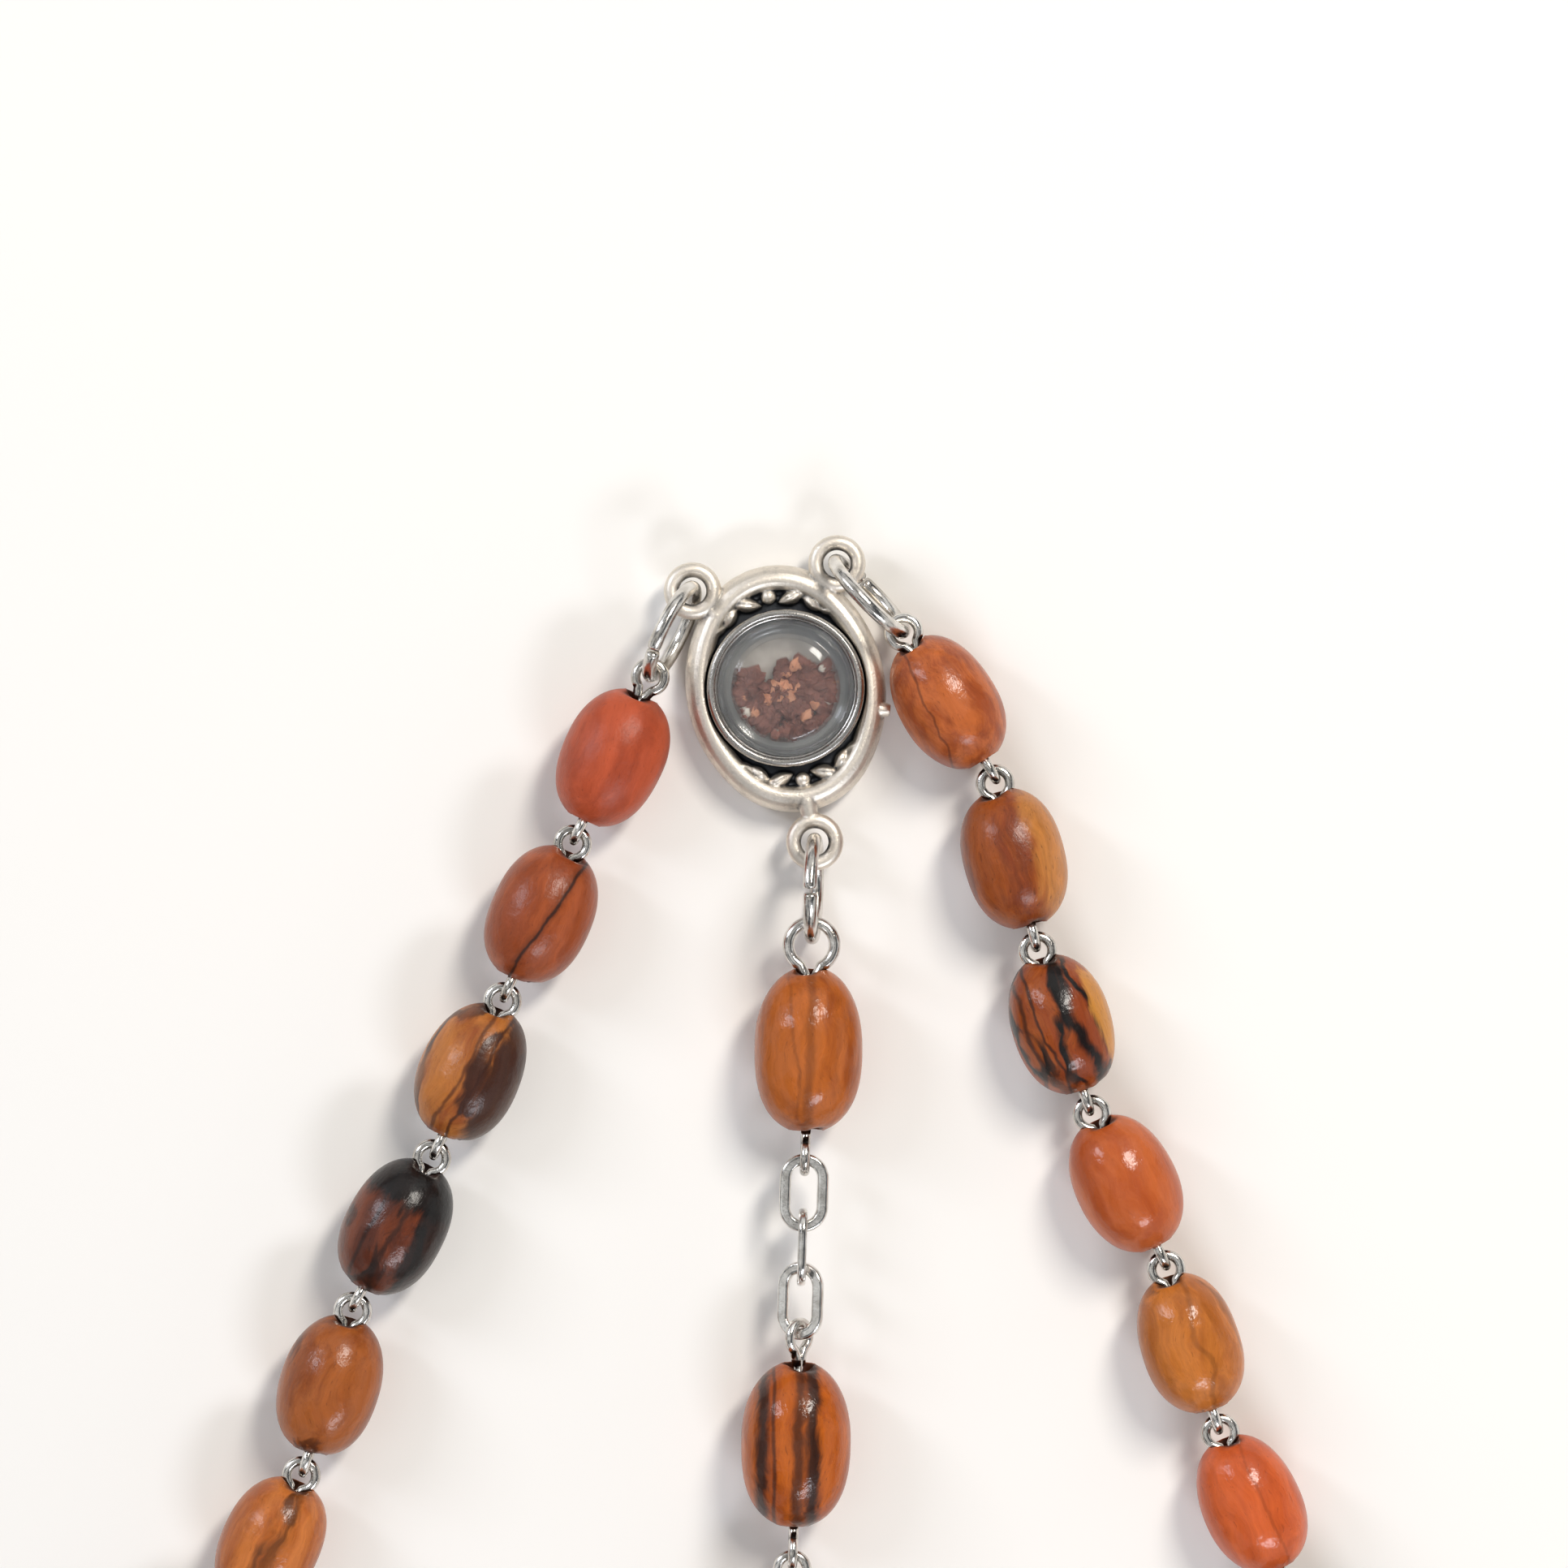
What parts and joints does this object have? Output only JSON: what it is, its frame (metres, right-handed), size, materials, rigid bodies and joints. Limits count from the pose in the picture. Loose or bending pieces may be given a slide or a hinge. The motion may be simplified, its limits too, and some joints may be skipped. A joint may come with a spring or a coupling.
{
  "type": "rosary",
  "caption": "Rosary of lacquered olive-wood beads on eyed silver wire pins, joined by an oval keepsake medal with a clear soil capsule, with a pendant ending in a plain wooden cross.",
  "frame": {"origin": "middle of the medal's flat back", "axes": "+Z out of the medal's face, +Y away from the pendant, the loop and pendant lying along -Y"},
  "size_m": [0.1583, 0.2614, 0.0067],
  "materials": {
    "antique_silver": "cast white metal, silver plated, darkened in the recesses",
    "bezel_silver": "antique silver plate, worn bright",
    "clear_plastic": "clear moulded acrylic",
    "soil": "dry red-brown soil grains",
    "bead_wood": "olive wood, gloss lacquer",
    "cross_wood": "olive wood, satin lacquer",
    "wire_silver": "polished silver-plated wire",
    "chain_silver": "polished silver-plated links with cut flats"
  },
  "bodies": {
    "medal": {"medal": "antique_silver", "capsule_cup": "clear_plastic", "soil": "soil", "lens": "clear_plastic", "bezel_ring": "bezel_silver"},
    "left_jump_ring": {"left_jump_ring": "wire_silver"},
    "left_pin_1": {"left_pin_1": "wire_silver"},
    "left_bead_1": {"left_bead_1": "bead_wood"},
    "left_pin_2": {"left_pin_2": "wire_silver"},
    "left_bead_2": {"left_bead_2": "bead_wood"},
    "left_pin_3": {"left_pin_3": "wire_silver"},
    "left_bead_3": {"left_bead_3": "bead_wood"},
    "left_pin_4": {"left_pin_4": "wire_silver"},
    "left_bead_4": {"left_bead_4": "bead_wood"},
    "left_pin_5": {"left_pin_5": "wire_silver"},
    "left_bead_5": {"left_bead_5": "bead_wood"},
    "left_upper": {"left_upper_beads": "bead_wood", "left_upper_pins": "wire_silver", "left_upper_links": "chain_silver"},
    "left_lower": {"left_lower_beads": "bead_wood", "left_lower_pins": "wire_silver", "left_lower_links": "chain_silver"},
    "right_jump_ring": {"right_jump_ring": "wire_silver"},
    "right_pin_1": {"right_pin_1": "wire_silver"},
    "right_bead_1": {"right_bead_1": "bead_wood"},
    "right_pin_2": {"right_pin_2": "wire_silver"},
    "right_bead_2": {"right_bead_2": "bead_wood"},
    "right_pin_3": {"right_pin_3": "wire_silver"},
    "right_bead_3": {"right_bead_3": "bead_wood"},
    "right_pin_4": {"right_pin_4": "wire_silver"},
    "right_bead_4": {"right_bead_4": "bead_wood"},
    "right_pin_5": {"right_pin_5": "wire_silver"},
    "right_bead_5": {"right_bead_5": "bead_wood"},
    "right_upper": {"right_upper_beads": "bead_wood", "right_upper_pins": "wire_silver", "right_upper_links": "chain_silver"},
    "right_lower": {"right_lower_beads": "bead_wood", "right_lower_pins": "wire_silver", "right_lower_links": "chain_silver"},
    "lower_jump_ring": {"lower_jump_ring": "wire_silver"},
    "pendant_pin_1": {"pendant_pin_1": "wire_silver"},
    "pendant_bead_1": {"pendant_bead_1": "bead_wood"},
    "pendant_pin_2": {"pendant_pin_2": "wire_silver"},
    "pendant_bead_2": {"pendant_bead_2": "bead_wood"},
    "pendant_pin_3": {"pendant_pin_3": "wire_silver"},
    "pendant_bead_3": {"pendant_bead_3": "bead_wood"},
    "pendant_pin_4": {"pendant_pin_4": "wire_silver"},
    "pendant_bead_4": {"pendant_bead_4": "bead_wood"},
    "pendant_pin_5": {"pendant_pin_5": "wire_silver"},
    "pendant_bead_5": {"pendant_bead_5": "bead_wood"},
    "pendant_link_1": {"pendant_link_1": "chain_silver"},
    "pendant_link_2": {"pendant_link_2": "chain_silver"},
    "pendant_link_3": {"pendant_link_3": "chain_silver"},
    "pendant_link_4": {"pendant_link_4": "chain_silver"},
    "pendant_link_5": {"pendant_link_5": "chain_silver"},
    "pendant_link_6": {"pendant_link_6": "chain_silver"},
    "cross_jump_ring": {"cross_jump_ring": "wire_silver"},
    "cross": {"cross": "cross_wood", "cross_eye": "wire_silver"}
  },
  "joints": [
    {"name": "left_ring_swing", "type": "hinge", "parent": "medal", "child": "left_jump_ring", "pos_m": [-0.00599, 0.00457, 0.0022], "axis": [0.8988, -0.4384, 0], "range_deg": [-18, 28]},
    {"name": "left_pin_1_sway", "type": "hinge", "parent": "left_jump_ring", "child": "left_pin_1", "pos_m": [-0.00788, 0.0007, 0.00305], "axis": [0, 0, -1], "range_deg": [0, 35]},
    {"name": "left_pin_2_lift", "type": "hinge", "parent": "left_pin_1", "child": "left_pin_2", "pos_m": [-0.01209, -0.00832, 0.00305], "axis": [0.9135, -0.4067, 0], "range_deg": [-50, 50]},
    {"name": "left_pin_3_sway", "type": "hinge", "parent": "left_pin_2", "child": "left_pin_3", "pos_m": [-0.01645, -0.01809, 0.00305], "axis": [0, 0, 1], "range_deg": [-35, 0]},
    {"name": "right_ring_swing", "type": "hinge", "parent": "medal", "child": "right_jump_ring", "pos_m": [0.00386, 0.00639, 0.0022], "axis": [0.7193, 0.6947, 0], "range_deg": [-18, 14]},
    {"name": "right_pin_1_sway", "type": "hinge", "parent": "right_jump_ring", "child": "right_pin_1", "pos_m": [0.00685, 0.00329, 0.00305], "axis": [0, 0, 1], "range_deg": [0, 35]},
    {"name": "right_pin_2_lift", "type": "hinge", "parent": "right_pin_1", "child": "right_pin_2", "pos_m": [0.01202, -0.00476, 0.00305], "axis": [0.9703, 0.2419, 0], "range_deg": [-50, 50]},
    {"name": "right_pin_3_sway", "type": "hinge", "parent": "right_pin_2", "child": "right_pin_3", "pos_m": [0.01461, -0.01514, 0.00305], "axis": [0, 0, -1], "range_deg": [-35, 0]},
    {"name": "lower_ring_swing", "type": "hinge", "parent": "medal", "child": "lower_jump_ring", "pos_m": [0.00166, -0.01023, 0.0022], "axis": [0.9995, -0.0314, 0], "range_deg": [-18, 28]},
    {"name": "pendant_pin_1_sway", "type": "hinge", "parent": "lower_jump_ring", "child": "pendant_pin_1", "pos_m": [0.00152, -0.01454, 0.00335], "axis": [0, 0, 1], "range_deg": [-14, 14]},
    {"name": "left_pin_4_lift", "type": "hinge", "parent": "left_pin_3", "child": "left_pin_4", "pos_m": [-0.02025, -0.02669, 0.00305], "axis": [-0.8829, 0.4695, 0], "range_deg": [-50, 50]},
    {"name": "left_pin_5_sway", "type": "hinge", "parent": "left_pin_4", "child": "left_pin_5", "pos_m": [-0.02527, -0.03614, 0.00305], "axis": [0, 0, -1], "range_deg": [0, 35]},
    {"name": "left_upper_lift", "type": "hinge", "parent": "left_pin_5", "child": "left_upper", "pos_m": [-0.02793, -0.04516, 0.00305], "axis": [0.9157, -0.402, 0], "range_deg": [-50, 50]},
    {"name": "left_lower_sway", "type": "hinge", "parent": "left_upper", "child": "left_lower", "pos_m": [-0.05976, -0.11768, 0.00305], "axis": [0, 0, 1], "range_deg": [-35, 0]},
    {"name": "right_pin_4_lift", "type": "hinge", "parent": "right_pin_3", "child": "right_pin_4", "pos_m": [0.01749, -0.02409, 0.00305], "axis": [-0.8988, -0.4384, 0], "range_deg": [-50, 50]},
    {"name": "right_pin_5_sway", "type": "hinge", "parent": "right_pin_4", "child": "right_pin_5", "pos_m": [0.02218, -0.03371, 0.00305], "axis": [0, 0, 1], "range_deg": [0, 35]},
    {"name": "right_upper_lift", "type": "hinge", "parent": "right_pin_5", "child": "right_upper", "pos_m": [0.02501, -0.04268, 0.00305], "axis": [0.9157, 0.4019, 0], "range_deg": [-50, 50]},
    {"name": "right_lower_sway", "type": "hinge", "parent": "right_upper", "child": "right_lower", "pos_m": [0.05685, -0.1152, 0.00305], "axis": [0, 0, -1], "range_deg": [-35, 0]},
    {"name": "pendant_link_1_lift", "type": "hinge", "parent": "pendant_pin_1", "child": "pendant_link_1", "pos_m": [0.00112, -0.02748, 0.00335], "axis": [0.9995, -0.0314, 0], "range_deg": [-50, 50]},
    {"name": "pendant_link_2_sway", "type": "hinge", "parent": "pendant_link_1", "child": "pendant_link_2", "pos_m": [0.00102, -0.03063, 0.00335], "axis": [0, 0, -1], "range_deg": [-15, 15]},
    {"name": "pendant_link_3_lift", "type": "hinge", "parent": "pendant_link_2", "child": "pendant_link_3", "pos_m": [0.00092, -0.03378, 0.00335], "axis": [-0.9059, 0.0285, -0.4226], "range_deg": [-40, 40]},
    {"name": "pendant_pin_2_sway", "type": "hinge", "parent": "pendant_link_3", "child": "pendant_pin_2", "pos_m": [0.00082, -0.03698, 0.00335], "axis": [0.6425, -0.0202, -0.766], "range_deg": [-18, 18]},
    {"name": "pendant_pin_3_lift", "type": "hinge", "parent": "pendant_pin_2", "child": "pendant_pin_3", "pos_m": [0.00039, -0.05052, 0.00335], "axis": [0.9995, -0.0314, 0], "range_deg": [-50, 50]},
    {"name": "pendant_pin_4_sway", "type": "hinge", "parent": "pendant_pin_3", "child": "pendant_pin_4", "pos_m": [-0.00005, -0.06471, 0.00335], "axis": [0, 0, 1], "range_deg": [-25, 25]},
    {"name": "pendant_link_4_lift", "type": "hinge", "parent": "pendant_pin_4", "child": "pendant_link_4", "pos_m": [-0.00046, -0.07756, 0.00335], "axis": [-0.9995, 0.0314, 0], "range_deg": [-50, 50]},
    {"name": "pendant_link_5_sway", "type": "hinge", "parent": "pendant_link_4", "child": "pendant_link_5", "pos_m": [-0.00055, -0.08071, 0.00335], "axis": [0, 0, -1], "range_deg": [-30, 30]},
    {"name": "pendant_link_6_lift", "type": "hinge", "parent": "pendant_link_5", "child": "pendant_link_6", "pos_m": [-0.00065, -0.08385, 0.00335], "axis": [0.9995, -0.0314, 0], "range_deg": [-50, 50]},
    {"name": "pendant_pin_5_sway", "type": "hinge", "parent": "pendant_link_6", "child": "pendant_pin_5", "pos_m": [-0.00075, -0.08705, 0.00335], "axis": [0, 0, 1], "range_deg": [-35, 35]},
    {"name": "cross_ring_swing", "type": "hinge", "parent": "pendant_pin_5", "child": "cross_jump_ring", "pos_m": [-0.0012, -0.10125, 0.00335], "axis": [-0.9995, 0.0314, 0], "range_deg": [-30, 30]},
    {"name": "cross_sway", "type": "hinge", "parent": "cross_jump_ring", "child": "cross", "pos_m": [-0.00135, -0.10592, 0.0022], "axis": [0, 0, -1], "range_deg": [-35, 35]},
    {"name": "left_bead_1_spin", "type": "hinge", "parent": "left_pin_1", "child": "left_bead_1", "pos_m": [-0.0101, -0.00406, 0.00305], "axis": [-0.4226, -0.9063, 0], "continuous": true},
    {"name": "left_bead_2_spin", "type": "hinge", "parent": "left_pin_2", "child": "left_bead_2", "pos_m": [-0.01427, -0.0132, 0.00305], "axis": [-0.4067, -0.9135, 0], "continuous": true},
    {"name": "left_bead_3_spin", "type": "hinge", "parent": "left_pin_3", "child": "left_bead_3", "pos_m": [-0.01836, -0.02239, 0.00305], "axis": [-0.4067, -0.9135, 0], "continuous": true},
    {"name": "left_bead_4_spin", "type": "hinge", "parent": "left_pin_4", "child": "left_bead_4", "pos_m": [-0.02276, -0.03141, 0.00305], "axis": [-0.4695, -0.8829, 0], "continuous": true},
    {"name": "left_bead_5_spin", "type": "hinge", "parent": "left_pin_5", "child": "left_bead_5", "pos_m": [-0.02659, -0.04065, 0.00305], "axis": [-0.2924, -0.9563, 0], "continuous": true},
    {"name": "right_bead_1_spin", "type": "hinge", "parent": "right_pin_1", "child": "right_bead_1", "pos_m": [0.00943, -0.00082, 0.00305], "axis": [0.5299, -0.848, 0], "continuous": true},
    {"name": "right_bead_2_spin", "type": "hinge", "parent": "right_pin_2", "child": "right_bead_2", "pos_m": [0.01331, -0.00995, 0.00305], "axis": [0.2419, -0.9703, 0], "continuous": true},
    {"name": "right_bead_3_spin", "type": "hinge", "parent": "right_pin_3", "child": "right_bead_3", "pos_m": [0.01608, -0.01961, 0.00305], "axis": [0.309, -0.9511, 0], "continuous": true},
    {"name": "right_bead_4_spin", "type": "hinge", "parent": "right_pin_4", "child": "right_bead_4", "pos_m": [0.01984, -0.0289, 0.00305], "axis": [0.4384, -0.8988, 0], "continuous": true},
    {"name": "right_bead_5_spin", "type": "hinge", "parent": "right_pin_5", "child": "right_bead_5", "pos_m": [0.02359, -0.0382, 0.00305], "axis": [0.309, -0.9511, 0], "continuous": true},
    {"name": "pendant_bead_1_spin", "type": "hinge", "parent": "pendant_pin_1", "child": "pendant_bead_1", "pos_m": [0.00132, -0.02108, 0.00335], "axis": [-0.0314, -0.9995, 0], "continuous": true},
    {"name": "pendant_bead_2_spin", "type": "hinge", "parent": "pendant_pin_2", "child": "pendant_bead_2", "pos_m": [0.0006, -0.04407, 0.00335], "axis": [-0.0314, -0.9995, 0], "continuous": true},
    {"name": "pendant_bead_3_spin", "type": "hinge", "parent": "pendant_pin_3", "child": "pendant_bead_3", "pos_m": [0.00017, -0.05762, 0.00335], "axis": [-0.0314, -0.9995, 0], "continuous": true},
    {"name": "pendant_bead_4_spin", "type": "hinge", "parent": "pendant_pin_4", "child": "pendant_bead_4", "pos_m": [-0.00025, -0.07116, 0.00335], "axis": [-0.0314, -0.9995, 0], "continuous": true},
    {"name": "pendant_bead_5_spin", "type": "hinge", "parent": "pendant_pin_5", "child": "pendant_bead_5", "pos_m": [-0.00098, -0.09415, 0.00335], "axis": [-0.0314, -0.9995, 0], "continuous": true}
  ]
}
